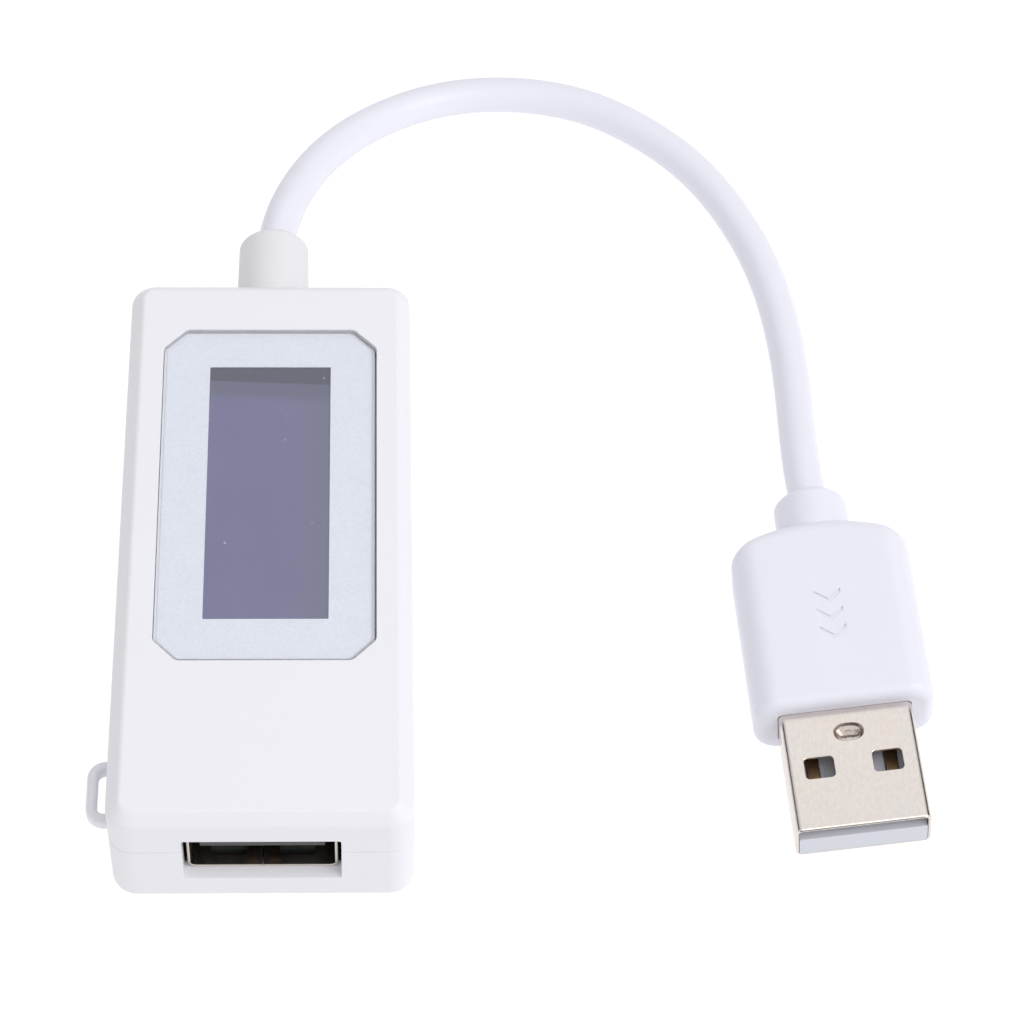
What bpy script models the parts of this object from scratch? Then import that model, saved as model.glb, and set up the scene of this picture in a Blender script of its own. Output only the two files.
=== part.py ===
"""Inline USB power meter with a captive plug lead, modelled piece by piece.

Units are metres and +Z is up. The origin is the centre of the casing's flat underside. The socket
faces -Y, the cord leaves at +Y, and +X is the right-hand side seen from the socket end.
"""

import math

import bmesh
import bpy
from mathutils import Vector

MM = 0.001

# Casing
CASE_W = 26.0 * MM
CASE_L = 58.0 * MM
CASE_H = 14.0 * MM
PARTING_Z = 8.5 * MM
WALL = 1.5 * MM
ROOF = 1.8 * MM
CORNER_R = 2.2 * MM
TOP_BEVEL = 1.15 * MM
FOOT_R = 1.6 * MM
SEAM_GAP = 0.1 * MM
LIP_OFFSET = 0.85 * MM
LIP_HEIGHT = 0.7 * MM
LATCH_Y = 16.0 * MM
GAP = 0.3 * MM
THIN_GAP = 0.05 * MM

# Window and display, stacked down from the casing's top
WINDOW_W = 19.5 * MM
WINDOW_L = 35.9 * MM
WINDOW_Y = 5.2 * MM
WINDOW_T = 0.95 * MM
WINDOW_CHAMFER = 2.2 * MM
POCKET_CLEARANCE = 0.12 * MM
POCKET_DEPTH = 1.25 * MM
FILM_T = 0.10 * MM
SCREEN_W = 11.1 * MM
SCREEN_L = 27.5 * MM
SCREEN_Y = 5.7 * MM
LCD_W = 15.2 * MM
LCD_L = 30.6 * MM
POLARISER_TOP = 12.10 * MM

# Circuit board
BOARD_TOP = 4.4 * MM
BOARD_T = 1.2 * MM
BOARD_HALF_W = 11.0 * MM
BOARD_HALF_L = 26.3 * MM
RIB_X = 9.6 * MM

# Type A socket (the opening's inside is the standard 12.5 x 5.12 mm)
SOCKET_Z = 7.3 * MM
SOCKET_W = 13.1 * MM
SOCKET_H = 5.7 * MM
SHEET = 0.3 * MM
SOCKET_FRONT = -28.1 * MM
SOCKET_BACK = -14.3 * MM
CUTOUT_W = 13.7 * MM
CUTOUT_H = 6.4 * MM
CONTACT_XS = (-3.5 * MM, -1.0 * MM, 1.0 * MM, 3.5 * MM)

# Lanyard loop on the left wall
LOOP_Y = -22.7 * MM
LOOP_HALF_L = 2.95 * MM
LOOP_REACH = 2.2 * MM
LOOP_BAR = 0.95 * MM
LOOP_T = 1.8 * MM

# Reset button in the right wall
BUTTON_Y = -19.0 * MM
BUTTON_Z = 6.2 * MM
BUTTON_W = 3.8 * MM
BUTTON_H = 2.0 * MM

# Cord bush, cord and plug
BUSH_Z = 8.5 * MM
BUSH_R = 3.36 * MM
BUSH_END = 37.3 * MM
CORD_R = 1.76 * MM
PLUG_ORIGIN = Vector((51.9, -13.6, 4.55)) * MM
PLUG_YAW = math.radians(4.0)
PLUG_ROLL = math.radians(-6.0)
PLUG_W = 12.0 * MM
PLUG_H = 4.5 * MM
PLUG_REACH = 11.8 * MM
PLUG_ROOT = 6.0 * MM
HOLE_X = 3.05 * MM
HOLE_Y = -5.68 * MM
HOLE_W, HOLE_L = 2.6 * MM, 2.1 * MM
MOULD_W = 16.3 * MM
MOULD_H = 7.8 * MM
MOULD_L = 18.05 * MM
MOULD_CROWN = 1.75 * MM
NECK_R = 3.42 * MM
NECK_START = 18.05 * MM
NECK_END = 23.7 * MM
RELIEF_ROUNDING = 1.1 * MM

CORNER_STEPS = 6
ROUND_STEPS = 24

# Colour, roughness and metallic value of each kind of material
PALETTE = {
    "case_white": ((0.84, 0.84, 0.87), 0.45, 0.0),
    "window_clear": ((0.93, 0.95, 0.97), 0.08, 0.0),
    "film_silver": ((0.72, 0.75, 0.79), 0.38, 0.3),
    "adhesive": ((0.80, 0.80, 0.76), 0.60, 0.0),
    "lcd_dark": ((0.22, 0.21, 0.34), 0.12, 0.0),
    "lcd_glass": ((0.45, 0.48, 0.50), 0.08, 0.0),
    "white_plastic": ((0.80, 0.80, 0.80), 0.40, 0.0),
    "flex_amber": ((0.45, 0.22, 0.05), 0.40, 0.0),
    "board_green": ((0.03, 0.22, 0.09), 0.45, 0.0),
    "chip_black": ((0.02, 0.02, 0.022), 0.50, 0.0),
    "component_tan": ((0.50, 0.38, 0.24), 0.50, 0.0),
    "tin": ((0.72, 0.72, 0.70), 0.30, 1.0),
    "nickel": ((0.66, 0.62, 0.58), 0.28, 1.0),
    "gold": ((0.80, 0.55, 0.22), 0.30, 1.0),
    "socket_black": ((0.03, 0.03, 0.03), 0.45, 0.0),
    "bush_grey": ((0.78, 0.77, 0.79), 0.50, 0.0),
    "cord_white": ((0.84, 0.84, 0.90), 0.45, 0.0),
    "wire_red": ((0.60, 0.03, 0.03), 0.45, 0.0),
    "wire_white": ((0.82, 0.82, 0.80), 0.45, 0.0),
    "wire_green": ((0.04, 0.35, 0.09), 0.45, 0.0),
    "wire_black": ((0.02, 0.02, 0.02), 0.45, 0.0),
}


# Helpers


def clear_scene():
    for obj in list(bpy.data.objects):
        bpy.data.objects.remove(obj, do_unlink=True)


def make_material(name, kind):
    colour, roughness, metallic = PALETTE[kind]
    material = bpy.data.materials.new(name)
    material.use_nodes = True
    shader = material.node_tree.nodes["Principled BSDF"]
    shader.inputs["Base Color"].default_value = (*colour, 1.0)
    shader.inputs["Roughness"].default_value = roughness
    shader.inputs["Metallic"].default_value = metallic
    material.diffuse_color = (*colour, 1.0)
    return material


def add_object(name, points, faces, kind=None, parent=None, smooth=False):
    """A mesh object with its normals facing out. Without a kind it is a hidden cutter or helper."""
    mesh = bpy.data.meshes.new(name)
    mesh.from_pydata([tuple(point) for point in points], [], faces)
    work = bmesh.new()
    work.from_mesh(mesh)
    bmesh.ops.recalc_face_normals(work, faces=work.faces)
    work.to_mesh(mesh)
    work.free()
    obj = bpy.data.objects.new(name, mesh)
    bpy.context.scene.collection.objects.link(obj)
    obj.parent = parent
    if kind is None:
        obj.hide_render = True
        obj.display_type = "WIRE"
        return obj
    mesh.materials.append(make_material(name, kind))
    if smooth:
        mesh.shade_smooth()
        mesh.set_sharp_from_angle(angle=math.radians(35))
    return obj


def rounded_rectangle(half_x, half_y, radius, steps=CORNER_STEPS):
    points = []
    for corner, (side_x, side_y) in enumerate(((1, 1), (-1, 1), (-1, -1), (1, -1))):
        for step in range(steps + 1):
            angle = (corner + step / steps) * math.pi / 2
            x = side_x * (half_x - radius) + radius * math.cos(angle)
            y = side_y * (half_y - radius) + radius * math.sin(angle)
            points.append((x, y))
    return points


def circle(radius, steps=ROUND_STEPS):
    turns = (2 * math.pi * step / steps for step in range(steps))
    return [(radius * math.cos(turn), radius * math.sin(turn)) for turn in turns]


def ring_z(outline, z, centre=(0.0, 0.0)):
    return [(x + centre[0], y + centre[1], z) for x, y in outline]


def ring_y(outline, y, centre=(0.0, 0.0)):
    return [(x + centre[0], y, z + centre[1]) for x, z in outline]


def loft(rings, closed=False):
    """Points and faces of a skin over rings of equal length, capped, or joined last to first."""
    size = len(rings[0])
    points = [point for ring in rings for point in ring]
    faces = []
    pairs = [(i, i + 1) for i in range(len(rings) - 1)]
    if closed:
        pairs.append((len(rings) - 1, 0))
    else:
        faces.append(tuple(range(size)))
        faces.append(tuple(range((len(rings) - 1) * size, len(rings) * size)))
    for low, high in pairs:
        for i in range(size):
            j = (i + 1) % size
            faces.append((low * size + i, low * size + j, high * size + j, high * size + i))
    return points, faces


def box_shape(low, high):
    xs, ys, zs = zip(low, high)
    points = [(x, y, z) for z in zs for y in ys for x in xs]
    faces = [(0, 1, 3, 2), (4, 5, 7, 6), (0, 1, 5, 4), (2, 3, 7, 6), (0, 2, 6, 4), (1, 3, 7, 5)]
    return points, faces


def join_shapes(shapes):
    points, faces = [], []
    for shape_points, shape_faces in shapes:
        start = len(points)
        points.extend(shape_points)
        faces.extend(tuple(start + i for i in face) for face in shape_faces)
    return points, faces


def centred_box(centre, size):
    low = [c - s / 2 for c, s in zip(centre, size)]
    high = [c + s / 2 for c, s in zip(centre, size)]
    return box_shape(low, high)


def add_box(name, centre, size, kind, parent=None):
    return add_object(name, *centred_box(centre, size), kind, parent)


def apply_boolean(obj, operation, shapes, parent=None):
    """Cuts or adds a list of shapes that don't meet each other."""
    step = len(obj.modifiers) + 1
    helper = add_object(f"{obj.name}_{operation.lower()}_{step}", *join_shapes(shapes), parent=parent)
    modifier = obj.modifiers.new(f"{operation.title()} {step}", "BOOLEAN")
    modifier.operation = operation
    modifier.object = helper
    return obj


def ribbon(name, path, width, thickness, x, kind, parent=None):
    """A strip of even thickness along a path in the YZ plane, its first point given as (y, z)."""
    path = [Vector(point) for point in path]
    sides = []
    for i, point in enumerate(path):
        before = (point - path[max(i - 1, 0)]).normalized()
        after = (path[min(i + 1, len(path) - 1)] - point).normalized()
        along = (before + after).normalized()
        reference = after if i == 0 else before
        across = Vector((-along.y, along.x))
        stretch = 1 / max(0.4, along.dot(reference))
        half = across * thickness / 2 * stretch
        sides.append((point + half, point - half))
    rings = []
    for upper, lower in sides:
        left, right = x - width / 2, x + width / 2
        rings.append([(left, *upper), (right, *upper), (right, *lower), (left, *lower)])
    return add_object(name, *loft(rings), kind, parent)


def catmull_rom(route, samples=24):
    """Many points along a smooth curve through the route's points."""
    route = [Vector(point) for point in route]
    ends = [2 * route[0] - route[1]] + route + [2 * route[-1] - route[-2]]
    curve = []
    for i in range(1, len(ends) - 2):
        a, b, c, d = ends[i - 1 : i + 3]
        for step in range(samples):
            t = step / samples
            square = (2 * a - 5 * b + 4 * c - d) * t**2
            cube = (3 * b - a - 3 * c + d) * t**3
            curve.append(0.5 * (2 * b + (c - a) * t + square + cube))
    curve.append(route[-1])
    return curve


def evenly_spaced(curve, count):
    lengths = [0.0]
    for before, after in zip(curve, curve[1:]):
        lengths.append(lengths[-1] + (after - before).length)
    points = []
    segment = 0
    for step in range(count):
        target = lengths[-1] * step / (count - 1)
        while segment < len(curve) - 2 and lengths[segment + 1] < target:
            segment += 1
        share = (target - lengths[segment]) / (lengths[segment + 1] - lengths[segment])
        points.append(curve[segment].lerp(curve[segment + 1], share))
    return points


def tube(name, route, radius, count, kind):
    data = bpy.data.curves.new(name, "CURVE")
    data.dimensions = "3D"
    data.bevel_depth = radius
    data.bevel_resolution = 2
    data.use_fill_caps = True
    points = evenly_spaced(catmull_rom(route), count)
    spline = data.splines.new("POLY")
    spline.points.add(len(points) - 1)
    for target, point in zip(spline.points, points):
        target.co = (*point, 1.0)
    obj = bpy.data.objects.new(name, data)
    bpy.context.scene.collection.objects.link(obj)
    data.materials.append(make_material(name, kind))
    return obj


# Casing


def case_ring(inset, z):
    radius = max(CORNER_R - inset, 0.3 * MM)
    return ring_z(rounded_rectangle(CASE_W / 2 - inset, CASE_L / 2 - inset, radius), z)


def cutout_shape():
    """Opening for the socket through the front wall of both shells."""
    low = (-CUTOUT_W / 2, -CASE_L / 2 - MM, SOCKET_Z - CUTOUT_H / 2)
    high = (CUTOUT_W / 2, -CASE_L / 2 + WALL + 0.5 * MM, SOCKET_Z + CUTOUT_H / 2)
    return box_shape(low, high)


def bush_hole_shape():
    radius = BUSH_R - 0.5 * MM
    start, end = CASE_L / 2 - WALL - 0.5 * MM, CASE_L / 2 + MM
    return loft([ring_y(circle(radius), y, (0, BUSH_Z)) for y in (start, end)])


def latch_shapes(inset, height, length):
    """Four snap beads on the lip, or the notches that they click into."""
    depth = 0.4 * MM
    shapes = []
    for side in (-1, 1):
        for y in (-LATCH_Y, LATCH_Y):
            x = side * (CASE_W / 2 - inset - depth / 2)
            shapes.append(centred_box((x, y, PARTING_Z + 0.42 * MM), (depth, length, height)))
    return shapes


def make_lower_shell():
    rings = []
    for step in range(CORNER_STEPS + 1):
        angle = step / CORNER_STEPS * math.pi / 2
        rings.append(case_ring(FOOT_R * (1 - math.sin(angle)), FOOT_R * (1 - math.cos(angle))))
    rings.append(case_ring(0, PARTING_Z))
    rings.append(case_ring(LIP_OFFSET, PARTING_Z))
    rings.append(case_ring(LIP_OFFSET, PARTING_Z + LIP_HEIGHT))
    rings.append(case_ring(WALL, PARTING_Z + LIP_HEIGHT))
    rings.append(case_ring(WALL, WALL))
    shell = add_object("lower_shell", *loft(rings), "case_white", smooth=True)
    added = latch_shapes(LIP_OFFSET - 0.22 * MM, 0.3 * MM, 3.6 * MM)
    rib_top = BOARD_TOP - BOARD_T - THIN_GAP
    rib_bottom = WALL - 0.4 * MM
    for side in (-1, 1):
        for y in (-24 * MM, -6 * MM, 10 * MM, 24 * MM):
            size = (CASE_W / 2 - WALL + 0.4 * MM - RIB_X, 1.2 * MM, rib_top - rib_bottom)
            centre = (side * (RIB_X + size[0] / 2), y, (rib_top + rib_bottom) / 2)
            added.append(centred_box(centre, size))
    added.append(loop_shape())
    apply_boolean(shell, "UNION", added)
    button_hole = rounded_rectangle(BUTTON_W / 2 + 0.2 * MM, BUTTON_H / 2 + 0.2 * MM, 0.6 * MM)
    hole_rings = []
    for x in (CASE_W / 2 - WALL - 0.5 * MM, CASE_W / 2 + MM):
        hole_rings.append([(x, BUTTON_Y + y, BUTTON_Z + z) for y, z in button_hole])
    apply_boolean(shell, "DIFFERENCE", [cutout_shape(), bush_hole_shape(), loft(hole_rings)])


def loop_shape():
    """Lanyard loop: a flat D-shaped bar standing out of the left wall."""
    wall_x = -CASE_W / 2
    top = PARTING_Z
    outer = loop_outline(wall_x - LOOP_REACH, wall_x + 0.5 * MM, LOOP_HALF_L, 1.6 * MM)
    inner_reach = LOOP_REACH - LOOP_BAR
    inner = loop_outline(wall_x - inner_reach, wall_x - 0.001 * MM, LOOP_HALF_L - LOOP_BAR, 0.9 * MM)
    bottom = top - LOOP_T
    rings = [ring_z(outer, bottom), ring_z(outer, top), ring_z(inner, top), ring_z(inner, bottom)]
    return loft(rings, closed=True)


def loop_outline(left, right, half_length, radius):
    points = []
    for side_y, start in ((1, math.pi / 2), (-1, math.pi)):
        for step in range(CORNER_STEPS + 1):
            angle = start + step / CORNER_STEPS * math.pi / 2
            x = left + radius + radius * math.cos(angle)
            y = side_y * (half_length - radius) + radius * math.sin(angle)
            points.append((x, LOOP_Y + y))
    points.append((right, LOOP_Y - half_length))
    points.append((right, LOOP_Y + half_length))
    return points


def window_outline(margin, chamfer=WINDOW_CHAMFER):
    """Rectangle with cut corners, in the XY plane."""
    half_x, half_y = WINDOW_W / 2 + margin, WINDOW_L / 2 + margin
    cut = chamfer + margin * (2 - math.sqrt(2))
    points = []
    for side_x, side_y in ((1, 1), (-1, 1), (-1, -1), (1, -1)):
        along_x = (side_x * (half_x - cut), side_y * half_y)
        along_y = (side_x * half_x, side_y * (half_y - cut))
        points.extend([along_y, along_x] if side_x == side_y else [along_x, along_y])
    return [(x, y + WINDOW_Y) for x, y in points]


def make_upper_shell():
    floor_z = PARTING_Z + SEAM_GAP
    lip_top = PARTING_Z + LIP_HEIGHT + SEAM_GAP
    rings = [
        case_ring(WALL, CASE_H - ROOF),
        case_ring(WALL, lip_top),
        case_ring(LIP_OFFSET - SEAM_GAP, lip_top),
        case_ring(LIP_OFFSET - SEAM_GAP, floor_z),
        case_ring(0, floor_z),
        case_ring(0, CASE_H - TOP_BEVEL),
        case_ring(TOP_BEVEL, CASE_H),
    ]
    shell = add_object("upper_shell", *loft(rings), "case_white", smooth=True)
    pocket = window_outline(POCKET_CLEARANCE)
    pocket_rings = [ring_z(pocket, CASE_H - POCKET_DEPTH), ring_z(pocket, CASE_H + MM)]
    opening_size = (LCD_W + 2 * GAP, LCD_L + 2 * GAP, 2 * ROOF)
    opening = centred_box((0, SCREEN_Y, CASE_H - POCKET_DEPTH - ROOF + 0.2 * MM), opening_size)
    apply_boolean(shell, "DIFFERENCE", [loft(pocket_rings)])
    cutters = [opening, cutout_shape(), bush_hole_shape()]
    cutters.extend(latch_shapes(LIP_OFFSET - 0.3 * MM, 0.42 * MM, 5.0 * MM))
    apply_boolean(shell, "DIFFERENCE", cutters)


# Window and display


def add_frame(name, outer, hole_size, low, high, kind):
    """A flat sheet of the given outline with a rectangular hole around the screen's centre."""
    sheet = add_object(name, *loft([ring_z(outer, low), ring_z(outer, high)]), kind)
    hole = centred_box((0, SCREEN_Y, (low + high) / 2), (*hole_size, (high - low) * 4))
    apply_boolean(sheet, "DIFFERENCE", [hole])


def make_window():
    low = CASE_H - WINDOW_T
    outline = window_outline(0)
    add_object("display_window", *loft([ring_z(outline, low), ring_z(outline, CASE_H)]), "window_clear")
    film_top = low - 0.04 * MM
    film_bottom = film_top - FILM_T
    film_outline = window_outline(-0.35 * MM)
    add_frame("window_film", film_outline, (SCREEN_W, SCREEN_L), film_bottom, film_top, "film_silver")
    tape_top = film_bottom - 0.03 * MM
    tape_hole = (LCD_W + 2 * GAP, LCD_L + 2 * GAP)
    tape_outline = window_outline(-0.5 * MM)
    add_frame("window_tape", tape_outline, tape_hole, tape_top - 0.08 * MM, tape_top, "adhesive")


def make_display():
    polariser_t = 0.2 * MM
    glass_t = 1.8 * MM
    light_t = 1.4 * MM
    glass_top = POLARISER_TOP - polariser_t - THIN_GAP
    light_top = glass_top - glass_t - THIN_GAP
    polariser_size = (LCD_W - 0.8 * MM, LCD_L - 1.6 * MM, polariser_t)
    add_box("lcd_polariser", (0, SCREEN_Y, POLARISER_TOP - polariser_t / 2), polariser_size, "lcd_dark")
    add_box("lcd_glass", (0, SCREEN_Y, glass_top - glass_t / 2), (LCD_W, LCD_L, glass_t), "lcd_glass")
    light_size = (LCD_W, LCD_L, light_t)
    add_box("lcd_backlight", (0, SCREEN_Y, light_top - light_t / 2), light_size, "white_plastic")
    led_z = light_top - light_t - GAP - 0.4 * MM
    led_size = (3.0 * MM, 1.4 * MM, 0.8 * MM)
    add_box("backlight_led", (0, SCREEN_Y + 12 * MM, led_z), led_size, "white_plastic")

    low, high = BOARD_TOP + THIN_GAP, POLARISER_TOP - 0.1 * MM
    centre = (0, SCREEN_Y - 0.35 * MM)
    inner_x, inner_y, frame_wall = 7.9 * MM, 15.95 * MM, 0.9 * MM
    inner = rounded_rectangle(inner_x, inner_y, 0.2 * MM, 1)
    outer = rounded_rectangle(inner_x + frame_wall, inner_y + frame_wall, 0.6 * MM, 1)
    rings = [ring_z(outer, low, centre), ring_z(outer, high, centre)]
    rings += [ring_z(inner, high, centre), ring_z(inner, low, centre)]
    add_object("lcd_holder", *loft(rings, closed=True), "white_plastic")

    strip_y = SCREEN_Y - LCD_L / 2 - 0.4 * MM
    path = [(strip_y, 11.6 * MM), (strip_y, 6.2 * MM)]
    path += [(strip_y + 0.3 * MM, 5.5 * MM), (strip_y + 1.2 * MM, 5.3 * MM)]
    ribbon("lcd_flex", path, 10.0 * MM, 0.15 * MM, 0, "flex_amber")
    connector_low = BOARD_TOP + THIN_GAP
    connector = (0, strip_y + 2.6 * MM, connector_low + 0.65 * MM)
    add_box("flex_connector", connector, (11.0 * MM, 2.0 * MM, 1.3 * MM), "white_plastic")


# Circuit board and what is soldered to it

# Name, centre x and y, size, kind
COMPONENTS = (
    ("meter_chip", (-2.5, 3.0), (6.6, 6.6, 1.3), "chip_black"),
    ("memory_chip", (5.0, 4.0), (3.9, 4.9, 1.4), "chip_black"),
    ("voltage_regulator", (5.2, 11.5), (2.9, 1.6, 1.1), "chip_black"),
    ("current_shunt", (-3.8, 12.5), (6.3, 3.2, 0.7), "chip_black"),
    ("crystal", (-4.5, -3.2), (5.0, 3.2, 1.1), "tin"),
    ("input_capacitor", (-9.95, -9.0), (1.6, 3.2, 1.4), "component_tan"),
    ("output_capacitor", (9.95, 14.0), (1.6, 3.2, 1.4), "component_tan"),
    ("regulator_capacitor", (5.2, 15.0), (2.0, 1.2, 1.0), "component_tan"),
    ("divider_resistor_1", (1.0, -4.2), (1.6, 0.8, 0.5), "chip_black"),
    ("divider_resistor_2", (4.0, -4.2), (1.6, 0.8, 0.5), "chip_black"),
    ("backlight_resistor", (0.5, 16.5), (1.6, 0.8, 0.5), "chip_black"),
)


def make_board():
    low = (-BOARD_HALF_W, -BOARD_HALF_L, BOARD_TOP - BOARD_T)
    high = (BOARD_HALF_W, BOARD_HALF_L, BOARD_TOP)
    board = add_object("circuit_board", *box_shape(low, high), "board_green")
    mid_z = BOARD_TOP - BOARD_T / 2
    tail_y = SOCKET_BACK + 0.7 * MM
    holes = [centred_box((x, tail_y, mid_z), (1.4 * MM, 0.9 * MM, 2 * BOARD_T)) for x in CONTACT_XS]
    for side in (-1, 1):
        x = side * (SOCKET_W - SHEET) / 2
        holes.append(centred_box((x, -20 * MM, mid_z), (0.9 * MM, 2.2 * MM, 2 * BOARD_T)))
    apply_boolean(board, "DIFFERENCE", holes)
    for name, (x, y), (size_x, size_y, size_z), kind in COMPONENTS:
        centre = (x * MM, y * MM, BOARD_TOP + THIN_GAP + size_z * MM / 2)
        add_box(name, centre, (size_x * MM, size_y * MM, size_z * MM), kind)


# Socket


def make_socket():
    outline_out = rounded_rectangle(SOCKET_W / 2, SOCKET_H / 2, 0.6 * MM)
    outline_in = rounded_rectangle(SOCKET_W / 2 - SHEET, SOCKET_H / 2 - SHEET, 0.3 * MM)
    centre = (0, SOCKET_Z)
    rings = [ring_y(outline_out, y, centre) for y in (SOCKET_FRONT, SOCKET_BACK)]
    rings += [ring_y(outline_in, y, centre) for y in (SOCKET_BACK, SOCKET_FRONT)]
    shell = add_object("socket_shell", *loft(rings, closed=True), "nickel", smooth=True)
    legs = []
    for side in (-1, 1):
        x = side * (SOCKET_W - SHEET) / 2
        legs.append(centred_box((x, -20 * MM, 4.15 * MM), (SHEET, 1.4 * MM, 3.1 * MM)))
    apply_boolean(shell, "UNION", legs)
    windows = []
    for x in (-3.0 * MM, 3.0 * MM):
        for side in (-1, 1):
            z = SOCKET_Z + side * SOCKET_H / 2
            windows.append(centred_box((x, -25.1 * MM, z), (3.1 * MM, 4.2 * MM, 1.2 * MM)))
    apply_boolean(shell, "DIFFERENCE", windows)

    tongue_low, tongue_high = SOCKET_Z + 0.06 * MM, SOCKET_Z + 1.90 * MM
    tongue = box_shape((-5.4 * MM, -27.6 * MM, tongue_low), (5.4 * MM, -16 * MM, tongue_high))
    insulator = add_object("socket_insulator", *tongue, "socket_black")
    half = SOCKET_W / 2 - SHEET - 0.1 * MM
    back_low = (-half, -17.2 * MM, tongue_low - 0.02 * MM)
    back_high = (half, -14.6 * MM, SOCKET_Z + 2.45 * MM)
    apply_boolean(insulator, "UNION", [box_shape(back_low, back_high)])
    legs = []
    for side in (-1, 1):
        x = side * (half + 4.6 * MM) / 2
        z = (tongue_low + SOCKET_Z - 2.45 * MM) / 2 + 0.1 * MM
        height = tongue_low - SOCKET_Z + 2.45 * MM + 0.2 * MM
        legs.append(centred_box((x, -15.9 * MM, z), (half - 4.6 * MM, 2.6 * MM, height)))
    apply_boolean(insulator, "UNION", legs)

    run_z = tongue_low - 0.18 * MM
    tail_y = SOCKET_BACK + 0.7 * MM
    for number, x in enumerate(CONTACT_XS, start=1):
        tip = -27.3 * MM if abs(x) < 2 * MM else -26.2 * MM
        bump_z = run_z - 0.35 * MM
        path = [(tip, run_z), (tip + 0.8 * MM, bump_z), (tip + 2.2 * MM, bump_z), (tip + 3.4 * MM, run_z)]
        path += [(tail_y - 0.5 * MM, run_z), (tail_y, run_z - 0.5 * MM), (tail_y, 2.6 * MM)]
        ribbon(f"socket_contact_{number}", path, 1.0 * MM, 0.2 * MM, x, "gold")


# Reset button and the switch behind it


def make_button():
    """The cap and the switch's plunger slide along X, so each has its origin on that axis."""
    axis = Vector((CASE_W / 2, BUTTON_Y, BUTTON_Z))
    cap_rings = []
    for x, grow in ((-2.15, 0.55), (-1.6, 0.55), (-1.6, 0.0), (-0.35, 0.0), (-0.1, -0.25)):
        half_y, half_z = BUTTON_W / 2 + grow * MM, BUTTON_H / 2 + grow * MM
        outline = rounded_rectangle(half_y, half_z, 0.45 * MM)
        cap_rings.append([(x * MM, y, z) for y, z in outline])
    cap = add_object("reset_button", *loft(cap_rings), "case_white", smooth=True)
    cap.location = axis
    plunger_size = (1.35 * MM, 1.6 * MM, 1.2 * MM)
    plunger = add_box("reset_switch_plunger", (-2.93 * MM, 0, 0), plunger_size, "chip_black")
    plunger.location = axis
    body_low = (7.2 * MM, BUTTON_Y - 2.25 * MM, BOARD_TOP + THIN_GAP)
    body_high = (10.2 * MM, BUTTON_Y + 2.25 * MM, BUTTON_Z + 1.5 * MM)
    body = add_object("reset_switch_body", *box_shape(body_low, body_high), "tin")
    pocket = centred_box((9.9 * MM, BUTTON_Y, BUTTON_Z), (2.4 * MM, 2.0 * MM, 1.6 * MM))
    apply_boolean(body, "DIFFERENCE", [pocket])


# Cord bush, wires and cord


def turned_along_y(name, profile, z, kind, parent=None):
    """A round piece on an axis along Y, from (y, radius) pairs in millimetres."""
    rings = [ring_y(circle(radius * MM), y * MM, (0, z)) for y, radius in profile]
    return add_object(name, *loft(rings), kind, parent, smooth=True)


def shoulder_pairs(end, radius, steps=5):
    """(y, radius) pairs, in millimetres, of the rounded end of a strain relief."""
    pairs = []
    for step in range(steps + 1):
        angle = step / steps * math.pi / 2
        y = end - RELIEF_ROUNDING * (1 - math.sin(angle))
        pairs.append((y / MM, (radius - RELIEF_ROUNDING * (1 - math.cos(angle))) / MM))
    return pairs


def make_bush_and_wires():
    flange = [(25.4, 3.2), (25.7, 3.5), (26.9, 3.5), (27.2, 3.2)]
    neck = [(27.2, 2.5), (29.15, 2.5), (29.15, BUSH_R / MM)]
    shoulder = shoulder_pairs(BUSH_END, BUSH_R - 0.08 * MM)
    turned_along_y("cord_bush", flange + neck + shoulder, BUSH_Z, "bush_grey")
    for number, colour in enumerate(("red", "white", "green", "black")):
        spread = number - 1.5
        top = (spread * 1.1, 25.0, 8.5)
        pad = (spread * 2.2, 23.6, 4.95)
        route = [top, (spread * 1.2, 24.2, 8.3), (spread * 1.8, 23.6, 6.6), pad]
        route = [Vector(point) * MM for point in route]
        tube(f"wire_{colour}", route, 0.45 * MM, 10, f"wire_{colour}")


# Free cord: its route from the bush to the plug's neck, in millimetres
CORD_ROUTE = (
    (0.16, 37.7, 8.5),
    (0.39, 39.05, 8.45),
    (0.86, 41.3, 8.25),
    (1.50, 43.5, 7.85),
    (2.57, 46.6, 6.95),
    (4.16, 50.18, 5.75),
    (6.47, 53.95, 4.35),
    (9.12, 57.08, 3.15),
    (12.95, 60.15, 2.1),
    (17.4, 61.85, 1.8),
    (22.2, 62.35, 1.8),
    (27.7, 61.8, 1.8),
    (33.75, 59.5, 1.8),
    (40.75, 53.87, 1.8),
    (45.43, 46.6, 1.8),
    (48.38, 38.6, 1.8),
    (49.73, 29.8, 1.95),
    (49.88, 22.0, 2.9),
    (49.82, 17.0, 3.9),
    (49.95, 13.0, 4.45),
    (50.2, 10.45, 4.55),
)


def make_cord():
    route = [Vector(point) * MM for point in CORD_ROUTE]
    tube("cord", route, CORD_R, 26, "cord_white")


# Plug, in its own frame: the origin is on the mould's front face, the tip points to -Y


def plug_tube_rings(outline_out, outline_in, front, back):
    rings = [ring_y(outline_out, y) for y in (front, back)]
    return rings + [ring_y(outline_in, y) for y in (back, front)]


def make_plug_shell(frame):
    outer = rounded_rectangle(PLUG_W / 2, PLUG_H / 2, 0.5 * MM)
    inner = rounded_rectangle(PLUG_W / 2 - SHEET, PLUG_H / 2 - SHEET, 0.25 * MM)
    rings = plug_tube_rings(outer, inner, -PLUG_REACH, PLUG_ROOT)
    shell = add_object("plug_shell", *loft(rings, closed=True), "nickel", frame, smooth=True)
    holes = []
    for x in (-HOLE_X, HOLE_X):
        for z in (-PLUG_H / 2, PLUG_H / 2):
            holes.append(centred_box((x, HOLE_Y, z), (HOLE_W, HOLE_L, 1.0 * MM)))
    apply_boolean(shell, "DIFFERENCE", holes, frame)


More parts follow.
